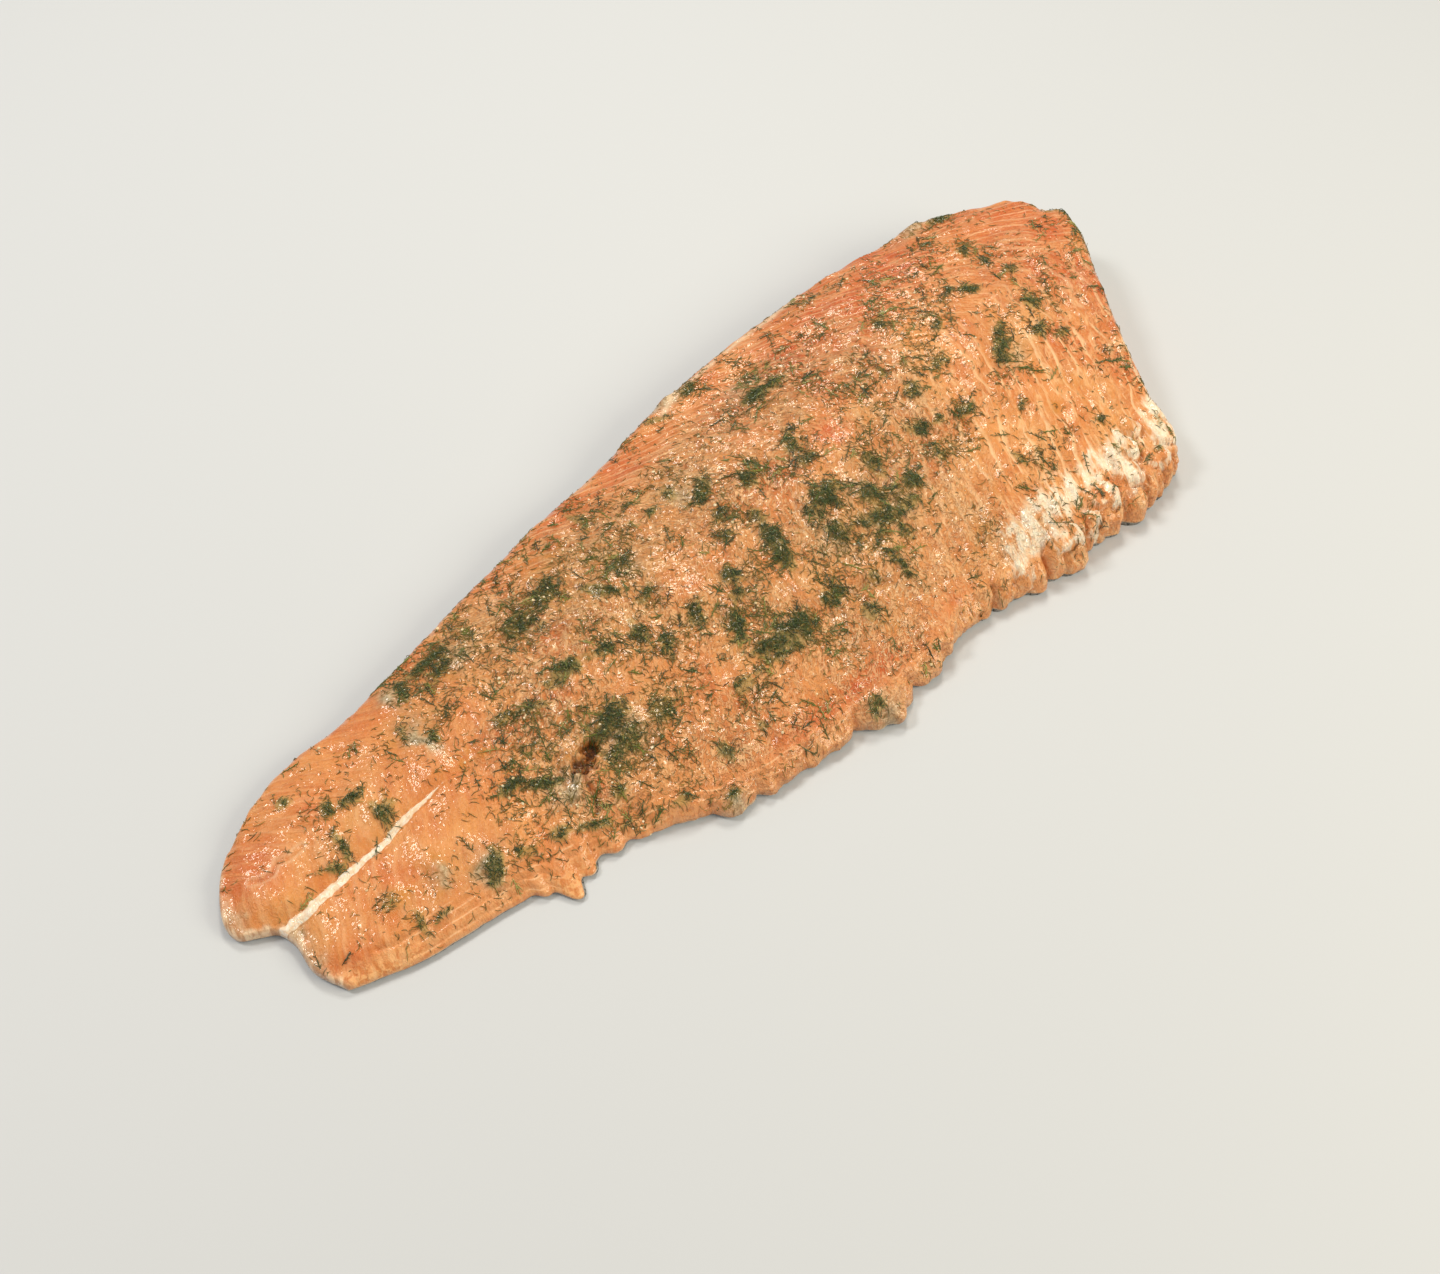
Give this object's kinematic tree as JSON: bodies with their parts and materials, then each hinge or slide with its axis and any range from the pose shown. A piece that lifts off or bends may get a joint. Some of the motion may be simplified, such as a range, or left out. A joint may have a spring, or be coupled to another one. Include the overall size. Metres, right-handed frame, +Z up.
{
  "type": "side of gravlax",
  "caption": "Whole boneless side of cured salmon lying skin down, thick at the head end and thin at the forked tail end, its cut face strewn with chopped dill.",
  "frame": {"origin": "middle of the side's plan box, on the flat skin side that rests on a surface", "axes": "+X from the tail end to the head end, +Y from the belly edge to the back edge, +Z up out of the cut face"},
  "size_m": [0.5882, 0.2276, 0.0408],
  "materials": {
    "cured_salmon": "moist cured salmon flesh, orange pink with pale fat seams, dark green chopped dill and silvery grey skin underneath"
  },
  "bodies": {
    "root": {"gravlax_side": "cured_salmon"}
  },
  "joints": []
}
